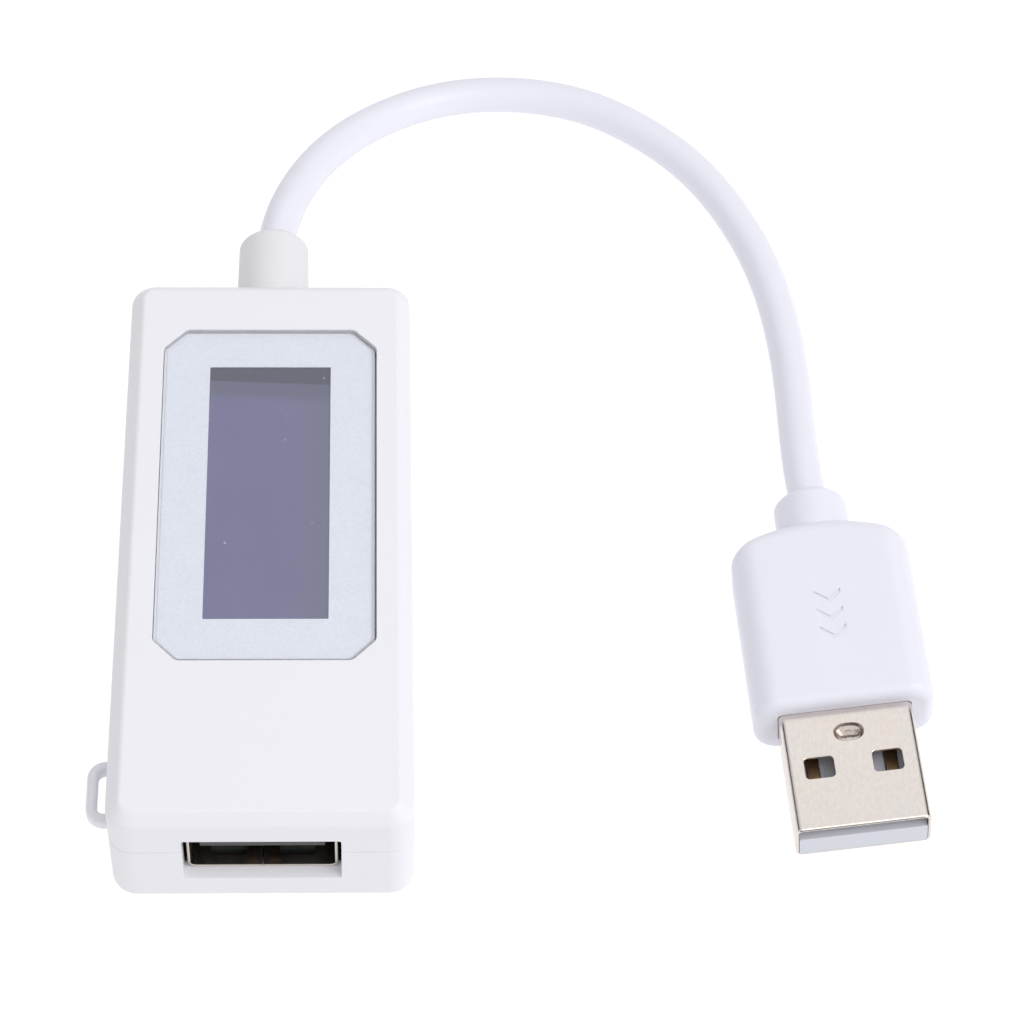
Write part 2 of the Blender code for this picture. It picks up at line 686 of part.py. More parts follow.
def make_plug_inside(frame):
    half = PLUG_W / 2 - SHEET - 0.1 * MM
    floor_z = -PLUG_H / 2 + SHEET + THIN_GAP
    tongue = box_shape((-half, -11.3 * MM, floor_z), (half, 5.6 * MM, -0.02 * MM))
    insulator = add_object("plug_insulator", *tongue, "white_plastic", frame)
    bridge = box_shape((-half, 0.6 * MM, 0.4 * MM), (half, 4.4 * MM, 1.85 * MM))
    legs = []
    for side in (-1, 1):
        legs.append(centred_box((side * 4.95 * MM, 2.5 * MM, 0.2 * MM), (1.2 * MM, 3.8 * MM, 0.6 * MM)))
    apply_boolean(insulator, "UNION", legs, frame)
    apply_boolean(insulator, "UNION", [bridge], frame)
    for number, x in enumerate(CONTACT_XS, start=1):
        tip = -8.9 * MM if abs(x) < 2 * MM else -9.9 * MM
        low = (x - 0.5 * MM, tip, 0.03 * MM)
        high = (x + 0.5 * MM, 7.4 * MM, 0.28 * MM)
        add_object(f"plug_contact_{number}", *box_shape(low, high), "gold", frame)
    inner_size = (10.0 * MM, 8.7 * MM, 3.8 * MM)
    add_box("plug_inner_mould", (0, 12.05 * MM, 0), inner_size, "white_plastic", frame)


def mould_ring(y, inset, crown):
    """One section of the mould. The crown bows it back at the middle of its width."""
    half_x = MOULD_W / 2 - inset
    corners = rounded_rectangle(half_x, MOULD_H / 2 - inset, max(2.3 * MM - inset, 0.8 * MM))
    outline = []
    for (x, z), (next_x, _) in zip(corners, corners[1:] + corners[:1]):
        outline.append((x, z))
        if abs(next_x - x) > half_x:
            outline += [(x + (next_x - x) * step / 8, z) for step in range(1, 8)]
    return [(x, y + crown * (1 - (x / half_x) ** 2), z) for x, z in outline]


def make_plug_mould(frame):
    edge = 1.0 * MM
    front, back = [], []
    for step in range(4):
        turn = step / 3 * math.pi / 2
        across, along = edge * (1 - math.cos(turn)), edge * (1 - math.sin(turn))
        front.append(mould_ring(across, along, 0))
        back.append(mould_ring(MOULD_L - along, across, MOULD_CROWN))
    points, faces = loft(front + back)
    size = len(back[-1])
    last = len(points) - size
    # The bowed back face is made of strips from its upper to its lower edge
    strips = [(i, i + 1, size - 2 - i, size - 1 - i) for i in range(size // 2 - 1)]
    faces[1:2] = [tuple(last + i for i in strip) for strip in strips]
    mould = add_object("plug_overmould", points, faces, "cord_white", frame, smooth=True)
    pocket_half_x, pocket_half_z = PLUG_W / 2 + 0.1 * MM, PLUG_H / 2 + 0.1 * MM
    pocket = rounded_rectangle(pocket_half_x, pocket_half_z, 0.55 * MM)
    cutter = loft([ring_y(pocket, y) for y in (-MM, 16.8 * MM)])
    seat = circle(NECK_R + THIN_GAP)
    seat_cutter = loft([ring_y(seat, y) for y in (NECK_START - THIN_GAP, NECK_START + 5 * MM)])
    apply_boolean(mould, "DIFFERENCE", [cutter, seat_cutter], frame)


def make_plug():
    frame = bpy.data.objects.new("plug_frame", None)
    bpy.context.scene.collection.objects.link(frame)
    frame.location = PLUG_ORIGIN
    frame.rotation_euler = (0, PLUG_ROLL, PLUG_YAW)
    make_plug_shell(frame)
    make_plug_inside(frame)
    make_plug_mould(frame)
    profile = [(NECK_START / MM, NECK_R / MM)] + shoulder_pairs(NECK_END, NECK_R - 0.04 * MM)
    turned_along_y("plug_neck", profile, 0, "cord_white", frame)


def main():
    clear_scene()
    make_lower_shell()
    make_upper_shell()
    make_window()
    make_display()
    make_board()
    make_socket()
    make_button()
    make_bush_and_wires()
    make_cord()
    make_plug()


main()
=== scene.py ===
"""Looks of the inline USB power meter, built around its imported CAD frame."""

import math

import bmesh
import bpy
from mathutils import Euler, Matrix, Vector


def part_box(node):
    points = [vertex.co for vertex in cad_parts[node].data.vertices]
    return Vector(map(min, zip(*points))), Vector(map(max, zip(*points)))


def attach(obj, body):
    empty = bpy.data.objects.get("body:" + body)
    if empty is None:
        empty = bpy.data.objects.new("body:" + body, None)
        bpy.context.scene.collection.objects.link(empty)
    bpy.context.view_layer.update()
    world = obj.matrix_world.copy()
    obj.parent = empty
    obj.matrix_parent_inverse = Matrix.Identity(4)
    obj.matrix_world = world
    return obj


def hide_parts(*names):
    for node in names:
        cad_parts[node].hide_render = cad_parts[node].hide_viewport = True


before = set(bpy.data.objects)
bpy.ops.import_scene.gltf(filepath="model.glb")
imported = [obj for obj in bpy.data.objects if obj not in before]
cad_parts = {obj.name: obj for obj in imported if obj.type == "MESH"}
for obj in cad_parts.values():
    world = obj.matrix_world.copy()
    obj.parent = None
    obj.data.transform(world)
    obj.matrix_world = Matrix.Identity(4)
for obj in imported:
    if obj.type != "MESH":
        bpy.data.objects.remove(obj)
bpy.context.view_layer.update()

MM = 0.001

# Places and sizes, in millimetres. Places come from the frame where a CAD node gives them


def corners(node):
    """The lowest and highest corner of a CAD node's box, in millimetres."""
    low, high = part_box(node)
    return low / MM, high / MM


UPPER_LOW, UPPER_HIGH = corners("upper_shell")
CASE_HALF_W = UPPER_HIGH.x
CASE_HALF_L = UPPER_HIGH.y
CASE_TOP = UPPER_HIGH.z
SEAM_TOP = UPPER_LOW.z
SEAM_BOTTOM = SEAM_TOP - 0.04
WALL = 1.5
LIP_OFFSET = 0.85
LIP_HEIGHT = 0.7
CORNER_R = 2.2
TOP_BEVEL = 1.15
FOOT_R = 1.6

WINDOW_LOW, WINDOW_HIGH = corners("display_window")
WINDOW_HALF_W = WINDOW_HIGH.x
WINDOW_HALF_L = (WINDOW_HIGH.y - WINDOW_LOW.y) / 2
WINDOW_Y = (WINDOW_HIGH.y + WINDOW_LOW.y) / 2
WINDOW_CHAMFER = 2.05
FACE_LOW, FACE_HIGH = corners("lcd_polariser")
FACE_HALF_W = FACE_HIGH.x
FACE_HALF_L = (FACE_HIGH.y - FACE_LOW.y) / 2
SCREEN_W, SCREEN_L, SCREEN_Y = 11.1, 27.5, 5.7
# A real window bends light, which brings what lies under it nearer. This one doesn't, so the
# print, its opening and the screen's face are placed where they would appear
PRINT_TOP = CASE_TOP - 0.5
POCKET_FLOOR = PRINT_TOP - 0.1
OPENING = (0.09, SCREEN_Y - 0.27)

SOCKET_LOW, SOCKET_HIGH = corners("socket_shell")
SOCKET_HALF_W = SOCKET_HIGH.x
SOCKET_TOP = SOCKET_HIGH.z
SOCKET_H = 5.7
SOCKET_Z = SOCKET_TOP - SOCKET_H / 2
SHEET = 0.3

BUSH_LOW, BUSH_HIGH = corners("cord_bush")
BUSH_Z = (BUSH_LOW.z + BUSH_HIGH.z) / 2
BUSH_END = BUSH_HIGH.y

LOOP_X, LOOP_Y = corners("lower_shell")[0].x, -22.7
LOOP_HALF_L, LOOP_BAR = 2.95, 0.95
LOOP_BOTTOM = 7.0

BUTTON_LOW, BUTTON_HIGH = corners("reset_button")
BUTTON_Y = (BUTTON_LOW.y + BUTTON_HIGH.y) / 2
BUTTON_Z = (BUTTON_LOW.z + BUTTON_HIGH.z) / 2

# The plug's own frame: the origin is on the mould's front face and the tip points to -Y
PLUG_FRAME = Matrix.LocRotScale(
    Vector((51.9, -13.6, 4.55)), Euler((0, math.radians(-6.0), math.radians(4.0))), None
)
PLUG_HALF_W, PLUG_HALF_H = 6.0, 2.25
PLUG_REACH, PLUG_ROOT = 11.8, 6.0
HOLE_X, HOLE_Y, HOLE_W, HOLE_L = 3.05, -5.68, 2.6, 2.1
DIMPLE_Y, DIMPLE_HALF_W, DIMPLE_HALF_L = -2.4, 1.38, 0.93
MOULD_HALF_W, MOULD_HALF_H, MOULD_L, MOULD_CROWN = 8.15, 3.9, 18.05, 1.75
NECK_R, NECK_START, NECK_END = 3.42, MOULD_L, 23.7
CONTACT_XS = (-3.5, -1.0, 1.0, 3.5)
CONTACT_NUMBERS = range(1, len(CONTACT_XS) + 1)

CORD_R = 1.76
# The cord's route, as the CAD has it
CORD_ROUTE = (
    (0.16, 37.7, 8.5),
    (0.39, 39.05, 8.45),
    (0.86, 41.3, 8.25),
    (1.50, 43.5, 7.85),
    (2.57, 46.6, 6.95),
    (4.16, 50.18, 5.75),
    (6.47, 53.95, 4.35),
    (9.12, 57.08, 3.15),
    (12.95, 60.15, 2.1),
    (17.4, 61.85, 1.8),
    (22.2, 62.35, 1.8),
    (27.7, 61.8, 1.8),
    (33.75, 59.5, 1.8),
    (40.75, 53.87, 1.8),
    (45.43, 46.6, 1.8),
    (48.38, 38.6, 1.8),
    (49.73, 29.8, 1.95),
    (49.88, 22.0, 2.9),
    (49.82, 17.0, 3.9),
    (49.95, 13.0, 4.45),
    (50.2, 10.45, 4.55),
)
# One more point at each end takes the cord just inside the bush and the neck
IN_BUSH, IN_NECK = (0.0, 36.7, 8.5), (50.29, 9.45, 4.55)


# Materials


def shader_tree(name):
    material = bpy.data.materials.new(name)
    material.use_nodes = True
    tree = material.node_tree
    return material, tree, tree.nodes["Principled BSDF"]


def noise(tree, scale, detail=2.0, stretch=None):
    """Noise in object space, in metres. Returns its Fac output."""
    coordinates = tree.nodes.new("ShaderNodeTexCoord")
    source = coordinates.outputs["Object"]
    if stretch:
        mapping = tree.nodes.new("ShaderNodeMapping")
        mapping.inputs["Scale"].default_value = stretch
        tree.links.new(source, mapping.inputs["Vector"])
        source = mapping.outputs["Vector"]
    texture = tree.nodes.new("ShaderNodeTexNoise")
    texture.inputs["Scale"].default_value = scale
    texture.inputs["Detail"].default_value = detail
    tree.links.new(source, texture.inputs["Vector"])
    return texture.outputs["Fac"]


def spread(tree, value, low, high):
    """Maps the middle of a noise to the range low to high."""
    node = tree.nodes.new("ShaderNodeMapRange")
    node.inputs["From Min"].default_value = 0.3
    node.inputs["From Max"].default_value = 0.7
    node.inputs["To Min"].default_value = low
    node.inputs["To Max"].default_value = high
    tree.links.new(value, node.inputs["Value"])
    return node.outputs["Result"]


def mix_colours(tree, factor, first, second):
    node = tree.nodes.new("ShaderNodeMix")
    node.data_type = "RGBA"
    tree.links.new(factor, node.inputs["Factor"])
    for socket, colour in ((node.inputs[6], first), (node.inputs[7], second)):
        if isinstance(colour, tuple):
            socket.default_value = (*colour, 1.0)
        else:
            tree.links.new(colour, socket)
    return node.outputs[2]


def bump(tree, shader, height, distance):
    node = tree.nodes.new("ShaderNodeBump")
    node.inputs["Distance"].default_value = distance
    node.inputs["Strength"].default_value = 1.0
    tree.links.new(height, node.inputs["Height"])
    tree.links.new(node.outputs["Normal"], shader.inputs["Normal"])


def moulded(name, colour, roughness=0.45, grain=2600.0, depth=0.000012):
    """Moulded plastic: a fine grain that also varies the gloss, and faint slow changes of colour."""
    material, tree, shader = shader_tree(name)
    darker = tuple(channel * 0.985 for channel in colour)
    slow = noise(tree, 90.0)
    tone = mix_colours(tree, slow, darker, colour)
    tree.links.new(tone, shader.inputs["Base Color"])
    fine = noise(tree, grain)
    tree.links.new(spread(tree, fine, roughness - 0.05, roughness + 0.05), shader.inputs["Roughness"])
    bump(tree, shader, fine, depth)
    return material


def metal(name, colour, roughness, streak=(1.0, 1.0, 1.0)):
    """Plated sheet metal with faint rolling streaks and patches."""
    material, tree, shader = shader_tree(name)
    shader.inputs["Metallic"].default_value = 1.0
    patches = noise(tree, 420.0, 4.0, streak)
    darker = tuple(channel * 0.93 for channel in colour)
    tree.links.new(mix_colours(tree, patches, darker, colour), shader.inputs["Base Color"])
    tree.links.new(spread(tree, patches, roughness - 0.04, roughness + 0.06), shader.inputs["Roughness"])
    bump(tree, shader, noise(tree, 3000.0, 2.0, streak), 0.000004)
    return material


def plug_nickel(name):
    """Nickel plate with a fine matt grain, warm and cool blotches, and faint rubbing along its length."""
    material, tree, shader = shader_tree(name)
    shader.inputs["Metallic"].default_value = 1.0
    blotches = noise(tree, 330.0, 3.0, (1.0, 0.6, 1.0))
    grain = noise(tree, 3600.0, 2.0, (1.0, 0.5, 1.0))
    rubbing = noise(tree, 1500.0, 2.0, (1.0, 0.06, 1.0))
    warm, cool = (0.80, 0.725, 0.665), (0.765, 0.72, 0.695)
    dull, rubbed = (0.60, 0.545, 0.505), (0.90, 0.86, 0.82)
    tone = mix_colours(tree, spread(tree, blotches, 0.0, 1.0), warm, cool)
    tone = mix_colours(tree, spread(tree, grain, 0.0, 0.30), tone, dull)
    tone = mix_colours(tree, spread(tree, rubbing, 0.0, 0.10), tone, rubbed)
    tree.links.new(tone, shader.inputs["Base Color"])
    tree.links.new(spread(tree, rubbing, 0.20, 0.26), shader.inputs["Roughness"])
    bump(tree, shader, grain, 0.000004)
    return material


def clear_window(name, colour, alpha):
    """Clear polished acrylic, thin enough to be shown by blending and not by refraction."""
    material, tree, shader = shader_tree(name)
    shader.inputs["Base Color"].default_value = (*colour, 1.0)
    shader.inputs["Alpha"].default_value = alpha
    shader.inputs["IOR"].default_value = 1.49
    shader.inputs["Specular IOR Level"].default_value = 0.5
    haze = noise(tree, 800.0)
    tree.links.new(spread(tree, haze, 0.03, 0.07), shader.inputs["Roughness"])
    return material


def silver_print(name):
    """Silver ink seen through the window: fine bright flakes in a pale blue grey."""
    material, tree, shader = shader_tree(name)
    flakes = noise(tree, 4200.0, 1.0)
    cloud = noise(tree, 500.0, 2.0)
    pale = mix_colours(tree, cloud, (0.66, 0.70, 0.785), (0.72, 0.755, 0.84))
    tone = mix_colours(tree, spread(tree, flakes, 0.0, 0.5), pale, (0.84, 0.85, 0.92))
    tree.links.new(tone, shader.inputs["Base Color"])
    shader.inputs["Metallic"].default_value = 0.15
    tree.links.new(spread(tree, flakes, 0.42, 0.60), shader.inputs["Roughness"])
    bump(tree, shader, flakes, 0.00001)
    return material


def ramp_along(tree, direction, start, end):
    """0 at start and 1 at end, in metres along a direction in object space."""
    coordinates = tree.nodes.new("ShaderNodeTexCoord")
    dot = tree.nodes.new("ShaderNodeVectorMath")
    dot.operation = "DOT_PRODUCT"
    dot.inputs[1].default_value = direction
    tree.links.new(coordinates.outputs["Object"], dot.inputs[0])
    node = tree.nodes.new("ShaderNodeMapRange")
    node.interpolation_type = "SMOOTHSTEP"
    node.inputs["From Min"].default_value = start
    node.inputs["From Max"].default_value = end
    tree.links.new(dot.outputs["Value"], node.inputs["Value"])
    return node.outputs["Result"]


def screen_face(name):
    """The display's face while it is off: violet grey, with duller bands at its far and right edges and a
    dark strip along the far edge, all painted shade from the window print's edge.
    """
    material, tree, shader = shader_tree(name)
    violet, deep_violet = (0.168, 0.163, 0.292), (0.158, 0.153, 0.280)
    right_painted_grey, far_painted_grey = (0.160, 0.158, 0.252), (0.130, 0.132, 0.204)
    far_painted_dark = (0.088, 0.091, 0.132)
    mottle = noise(tree, 260.0, 3.0)
    tone = mix_colours(tree, spread(tree, mottle, 0.0, 1.0), violet, deep_violet)
    # Each band of painted shade starts and ends at a distance from the screen's right or far edge, in
    # metres
    edge_x, edge_y = SCREEN_W / 2 * MM, (SCREEN_Y + SCREEN_L / 2) * MM
    painted_right_shade = ramp_along(tree, (1, 0, 0), edge_x - 0.0032, edge_x - 0.0015)
    tone = mix_colours(tree, painted_right_shade, tone, right_painted_grey)
    lean = (0.045, 1, 0)
    painted_far_shade = ramp_along(tree, lean, edge_y - 0.0045, edge_y - 0.0028)
    tone = mix_colours(tree, painted_far_shade, tone, far_painted_grey)
    # A narrow, darker strip of painted shade along the far edge
    painted_far_shadow = ramp_along(tree, lean, edge_y - 0.00202, edge_y - 0.0019)
    tone = mix_colours(tree, painted_far_shadow, tone, far_painted_dark)
    dust = noise(tree, 2300.0, 0.0)
    specks = tree.nodes.new("ShaderNodeMapRange")
    specks.inputs["From Min"].default_value = 0.835
    specks.inputs["From Max"].default_value = 0.875
    specks.inputs["To Max"].default_value = 0.7
    tree.links.new(dust, specks.inputs["Value"])
    tone = mix_colours(tree, specks.outputs["Result"], tone, (0.6, 0.6, 0.65))
    tree.links.new(tone, shader.inputs["Base Color"])
    shader.inputs["Specular IOR Level"].default_value = 0.1
    tree.links.new(spread(tree, mottle, 0.40, 0.50), shader.inputs["Roughness"])
    return material


def board_material(name):
    """Dark grey green solder mask, a little paler along its tracks."""
    material, tree, shader = shader_tree(name)
    tracks = noise(tree, 500.0, 0.0, (1.0, 0.25, 1.0))
    mask, track = (0.060, 0.070, 0.064), (0.078, 0.092, 0.082)
    tone = mix_colours(tree, spread(tree, tracks, 0.0, 1.0), mask, track)
    tree.links.new(tone, shader.inputs["Base Color"])
    tree.links.new(spread(tree, tracks, 0.30, 0.45), shader.inputs["Roughness"])
    bump(tree, shader, tracks, 0.00003)
    return material


def make_materials():
    white = (0.830, 0.832, 0.880)
    cool_white = (0.800, 0.800, 0.890)
    return {
        "case": moulded("case_plastic", white),
        "window": clear_window("window_clear", (0.93, 0.95, 0.97), 0.04),
        # The window's sides in a darker grey: painted shade
        "window_edge_painted_shade": clear_window("window_edge_painted_shade", (0.45, 0.46, 0.50), 0.5),
        "print": silver_print("window_print"),
        "tape": moulded("tape", (0.62, 0.63, 0.66), 0.6),
        "screen": screen_face("screen_face"),
        "glass": moulded("lcd_cell_edge", (0.40, 0.44, 0.46), 0.12, 400.0, 0.000001),
        "inner": moulded("inner_plastic", (0.74, 0.75, 0.80), 0.40),
        "flex": moulded("flex_film", (0.45, 0.22, 0.05), 0.35),
        "board": board_material("board"),
        "chip": moulded("chip_epoxy", (0.02, 0.02, 0.022), 0.5),
        "ceramic": moulded("capacitor_ceramic", (0.50, 0.38, 0.24), 0.45),
        "tin": metal("tinned_steel", (0.72, 0.72, 0.70), 0.28),
        "nickel": plug_nickel("plug_nickel"),
        "socket_nickel": metal("socket_nickel", (0.62, 0.575, 0.52), 0.22, (1.0, 0.35, 1.0)),
        # A darker brown metal for the walls of the shell's pit: painted shade for the dark reflections
        # there
        "pit": metal("shell_pit_painted_shade", (0.40, 0.34, 0.30), 0.24),
        # Gold darkened to brown: the plating's colour with painted shade, for contacts seen deep in the
        # plug's holes
        "gold": metal("contact_plating_with_painted_shade", (0.33, 0.205, 0.105), 0.42, (1.0, 0.2, 1.0)),
        # The socket's contacts in a gold far darker than the plug's: painted shade, deep in the socket
        "socket_gold": metal("socket_contact_plating_painted_shade", (0.10, 0.062, 0.048), 0.50, (1.0, 0.2, 1.0)),
        "tongue": moulded("plug_tongue", (0.67, 0.685, 0.76), 0.40),
        "socket_plastic": moulded("socket_plastic", (0.045, 0.045, 0.047), 0.42),
        "bush": moulded("bush_rubber", (0.775, 0.762, 0.798), 0.55, 1800.0),
        "cord": moulded("cord_jacket", cool_white, 0.42, 1200.0, 0.000008),
        "mould": moulded("plug_mould", cool_white, 0.42),
        "wire_red": moulded("wire_red", (0.60, 0.03, 0.03)),
        "wire_white": moulded("wire_white", (0.80, 0.80, 0.78)),
        "wire_green": moulded("wire_green", (0.04, 0.35, 0.09)),
        "wire_black": moulded("wire_black", (0.02, 0.02, 0.02)),
    }


# Shapes, in millimetres


def arc_corner(before, corner, after, radius, steps):
    """Points of an arc that rounds one corner of a polyline. Works in any number of dimensions."""
    to_before, to_after = (before - corner), (after - corner)
    turn = to_before.angle(to_after)
    if radius <= 0 or turn > math.pi - 1e-4:
        return [corner]
    reach = radius / math.tan(turn / 2)
    reach = min(reach, to_before.length * 0.499, to_after.length * 0.499)
    radius = reach * math.tan(turn / 2)
    start = corner + to_before.normalized() * reach
    end = corner + to_after.normalized() * reach
    middle = (start + end) / 2
    centre = corner + (middle - corner).normalized() * (radius / math.sin(turn / 2))
    points = []
    for step in range(steps + 1):
        share = step / steps
        swing = math.pi - turn
        first, last = start - centre, end - centre
        a = math.sin((1 - share) * swing) / math.sin(swing)
        b = math.sin(share * swing) / math.sin(swing)
        points.append(centre + first * a + last * b)
    return points


def rounded(points, radii, steps, closed=True):
    """A polyline with its corners rounded. radii is one number, or one for each point."""
    points = [Vector(point) for point in points]
    count = len(points)
    if not isinstance(radii, (list, tuple)):
        radii = [radii] * count
    result = []
    for i, (point, radius) in enumerate(zip(points, radii)):
        if not closed and i in (0, count - 1):
            result.append(point)
            continue
        result.extend(arc_corner(points[i - 1], point, points[(i + 1) % count], radius, steps))
    return result


def rectangle(half_x, half_y, radius, steps=8, centre=(0.0, 0.0)):
    x, y = centre
    corner_points = [(x + half_x, y + half_y), (x - half_x, y + half_y)]
    corner_points += [(x - half_x, y - half_y), (x + half_x, y - half_y)]
    return rounded(corner_points, radius, steps)


def circle(radius, steps=64):
    turns = (2 * math.pi * step / steps for step in range(steps))
    return [Vector((radius * math.cos(turn), radius * math.sin(turn))) for turn in turns]


def at_z(outline, z):
    return [Vector((x, y, z)) for x, y in outline]


def at_y(outline, y):
    return [Vector((x, y, z)) for x, z in outline]


def skin(rings, closed=False):
    """Points and faces over rings of equal length: capped at both ends, or joined last to first."""
    size = len(rings[0])
    points = [point for ring in rings for point in ring]
    pairs = [(i, i + 1) for i in range(len(rings) - 1)]
    if closed:
        pairs.append((len(rings) - 1, 0))
        faces = []
    else:
        faces = [tuple(range(size)), tuple(range((len(rings) - 1) * size, len(rings) * size))]
    for low, high in pairs:
        for i in range(size):
            j = (i + 1) % size
            faces.append((low * size + i, low * size + j, high * size + j, high * size + i))
    return points, faces


def prism(outline, low, high, lay=at_z):
    return skin([lay(outline, low), lay(outline, high)])


def mesh_object(name, points, faces, transform=None):
    mesh = bpy.data.meshes.new(name)
    if transform is not None:
        points = [transform @ point for point in points]
    mesh.from_pydata([tuple(point * MM) for point in points], [], faces)
    work = bmesh.new()
    work.from_mesh(mesh)
    bmesh.ops.recalc_face_normals(work, faces=work.faces)
    work.to_mesh(mesh)
    work.free()
    obj = bpy.data.objects.new(name, mesh)
    bpy.context.scene.collection.objects.link(obj)
    return obj


def settle(obj):
    """Replaces the mesh by what its modifiers make of it."""
    bpy.context.view_layer.update()
    graph = bpy.context.evaluated_depsgraph_get()
    mesh = bpy.data.meshes.new_from_object(
        obj.evaluated_get(graph), preserve_all_data_layers=True, depsgraph=graph
    )
    obj.modifiers.clear()
    obj.data = mesh


def boolean(obj, operation, shapes, transform=None):
    """Adds or cuts closed shapes, one after the other."""
    for points, faces in shapes:
        cutter = mesh_object("cutter", points, faces, transform)
        modifier = obj.modifiers.new(operation, "BOOLEAN")
        modifier.operation = operation
        modifier.object = cutter
        settle(obj)
        bpy.data.objects.remove(cutter)


def soften(obj, width, segments=3, angle=50):
    """Rounds the edges that are sharper than the angle."""
    modifier = obj.modifiers.new("Edge rounding", "BEVEL")
    modifier.width = width * MM
    modifier.segments = segments
    modifier.limit_method = "ANGLE"
    modifier.angle_limit = math.radians(angle)
    modifier.use_clamp_overlap = True


def finish_mesh(obj, smooth_angle=40):
    """Shades the mesh smooth, and keeps its large faces flat next to small roundings."""
    settle(obj)
    obj.data.shade_smooth()
    obj.data.set_sharp_from_angle(angle=math.radians(smooth_angle))
    modifier = obj.modifiers.new("Flat faces", "WEIGHTED_NORMAL")
    modifier.keep_sharp = True
    modifier.weight = 80


def place(obj, material, slot, body, *nodes):
    """Gives a piece its material and body, and names the CAD nodes that it replaces. Its slot is not
    used.
    """
    obj.data.materials.clear()
    obj.data.materials.append(material)
    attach(obj, body)
    if nodes:
        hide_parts(*nodes)


# Casing


def case_ring(inset, z):
    """The casing's outline in plan, moved inwards by inset."""
    radius = max(CORNER_R - inset, 0.35)
    return at_z(rectangle(CASE_HALF_W - inset, CASE_HALF_L - inset, radius, 12), z)


def draw_out(obj):
    """Spreads the long side walls slightly towards the front end, where the casing looks wider."""
    start, length = 8.0, 37.0
    inside, wall_band = 10.0, 1.5
    left_amount, right_amount = -0.30, 0.14
    for vertex in obj.data.vertices:
        point = vertex.co / MM
        along = min(max((start - point.y) / length, 0), 1)
        across = min(max((abs(point.x) - inside) / wall_band, 0), 1)
        amount = right_amount if point.x > 0 else left_amount
        vertex.co.x += amount * MM * along * across


def cutout():
    """Opening for the socket, through the front wall. Its lower side slopes out to the front face."""
    front, top = -CASE_HALF_L, SOCKET_Z + 3.2
    rings = []
    for y, bottom in ((front - 1, 3.55), (front, 4.05), (front + 0.85, 4.42), (front + 2.0, 4.42)):
        outline = rectangle(6.85, (top - bottom) / 2, 0.25, 4, (0, (top + bottom) / 2))
        rings.append(at_y(outline, y))
    return skin(rings)


def bush_hole():
    outline = [point + Vector((0, BUSH_Z)) for point in circle(2.8, 48)]
    return prism(outline, CASE_HALF_L - WALL - 0.5, CASE_HALF_L + 1, at_y)


def button_hole():
    outline = rectangle(2.1, 1.2, 0.6, 6)
    rings = []
    for x in (CASE_HALF_W - WALL - 0.5, CASE_HALF_W + 1):
        rings.append([Vector((x, BUTTON_Y + y, BUTTON_Z + z)) for y, z in outline])
    return skin(rings)


def lanyard_loop():
    """A round-edged bar bent into a D, swept along its middle line and flared into the wall."""
    wall_x = -CASE_HALF_W
    middle_x = LOOP_X + LOOP_BAR / 2 + 0.12
    half = LOOP_HALF_L - LOOP_BAR / 2
    back_y, front_y = LOOP_Y + half, LOOP_Y - half - 0.2
    root_x, flare_x, plain_x = wall_x + 0.6, wall_x + 0.05, wall_x - 0.18
    ends = [(root_x, back_y), (middle_x, back_y), (middle_x, front_y), (root_x, front_y)]
    path = rounded(ends, 1.25, 12, closed=False)
    path[1:1] = [Vector((flare_x, back_y)), Vector((plain_x, back_y))]
    path[-1:-1] = [Vector((plain_x, front_y)), Vector((flare_x, front_y))]
    half_t = (SEAM_BOTTOM - LOOP_BOTTOM) / 2
    middle_z = SEAM_BOTTOM - half_t - 0.02
    rings = []
    for i, point in enumerate(path):
        along = (path[min(i + 1, len(path) - 1)] - path[max(i - 1, 0)]).normalized()
        across = Vector((-along.y, along.x))
        wide = LOOP_BAR / 2 + (0.28 if point.x > wall_x else 0)
        ring = []
        for a, b in rectangle(wide, half_t, 0.42, 6):
            ring.append(Vector((point.x + across.x * a, point.y + across.y * a, middle_z + b)))
        rings.append(ring)
    return skin(rings)


def make_lower_casing(materials):
    seam = SEAM_BOTTOM
    profile = [(4.0, 0), (0, 0), (0, seam), (LIP_OFFSET, seam)]
    outer = rounded(profile, [0, FOOT_R, 0.10, 0], 10, closed=False)[1:]
    rings = [case_ring(inset, z) for inset, z in outer]
    for inset, z in ((LIP_OFFSET, seam + LIP_HEIGHT), (WALL, seam + LIP_HEIGHT), (WALL, WALL)):
        rings.append(case_ring(inset, z))
    obj = mesh_object("lower_casing", *skin(rings))
    boolean(obj, "UNION", [lanyard_loop()])
    boolean(obj, "DIFFERENCE", [cutout(), bush_hole(), button_hole()])
    draw_out(obj)
    soften(obj, 0.09)
    finish_mesh(obj)
    place(obj, materials["case"], "case_plastic", "meter", "lower_shell")


def window_outline(margin):
    """The window's outline, moved outwards by margin: cut corners, slightly rounded."""
    half_x, half_y = WINDOW_HALF_W + margin, WINDOW_HALF_L + margin
    cut = WINDOW_CHAMFER + margin * (2 - math.sqrt(2))
    points = []
    for side_x, side_y in ((1, 1), (-1, 1), (-1, -1), (1, -1)):
        along_x = (side_x * (half_x - cut), side_y * half_y)
        along_y = (side_x * half_x, side_y * (half_y - cut))
        points.extend([along_y, along_x] if side_x == side_y else [along_x, along_y])
    outline = rounded(points, 0.75 + margin, 6)
    return [point + Vector((0, WINDOW_Y)) for point in outline]


def window_gap():
    """The narrow, deep gap around the window. Its outer edge is eased at the casing's top."""
    low, high = CASE_TOP - 1.3, CASE_TOP + 0.1
    # The window doesn't sit quite in the middle of its pocket
    aside = Vector((0.05, -0.05))
    outer = [point + aside for point in window_outline(0.07)]
    eased = [point + aside for point in window_outline(0.20)]
    inner = window_outline(-0.04)
    rings = [at_z(outer, low), at_z(outer, CASE_TOP - 0.05), at_z(eased, high), at_z(inner, high)]
    return skin([*rings, at_z(inner, low)], closed=True)


